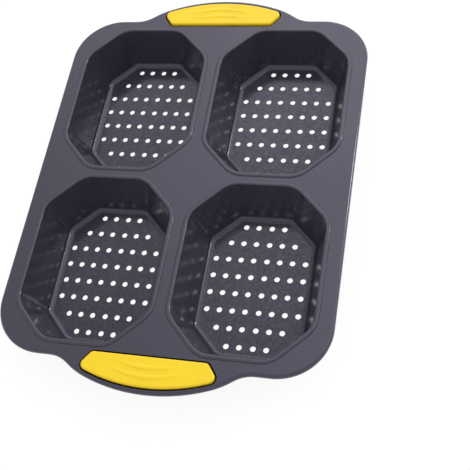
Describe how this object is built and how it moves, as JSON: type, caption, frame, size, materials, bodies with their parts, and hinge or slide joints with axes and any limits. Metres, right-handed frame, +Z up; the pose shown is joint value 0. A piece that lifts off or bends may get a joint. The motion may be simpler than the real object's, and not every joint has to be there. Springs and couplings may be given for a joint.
{
  "type": "hamburger bun pan",
  "caption": "Pressed steel bun pan with perforated octagonal wells, raised rims, a rolled edge and silicone grips in its end tabs.",
  "frame": {"origin": "middle of the pan, on the plane of the well floors' undersides, which it rests on", "axes": "+Y towards the rear tab and its grip, +X across the pan to the cook's right, +Z up out of the wells"},
  "size_m": [0.2058, 0.2854, 0.0308],
  "materials": {
    "coated_steel": "satin dark grey non-stick coat",
    "silicone": "matt yellow"
  },
  "bodies": {
    "root": {"pan": "coated_steel", "front_grip": "silicone", "rear_grip": "silicone"}
  },
  "joints": []
}
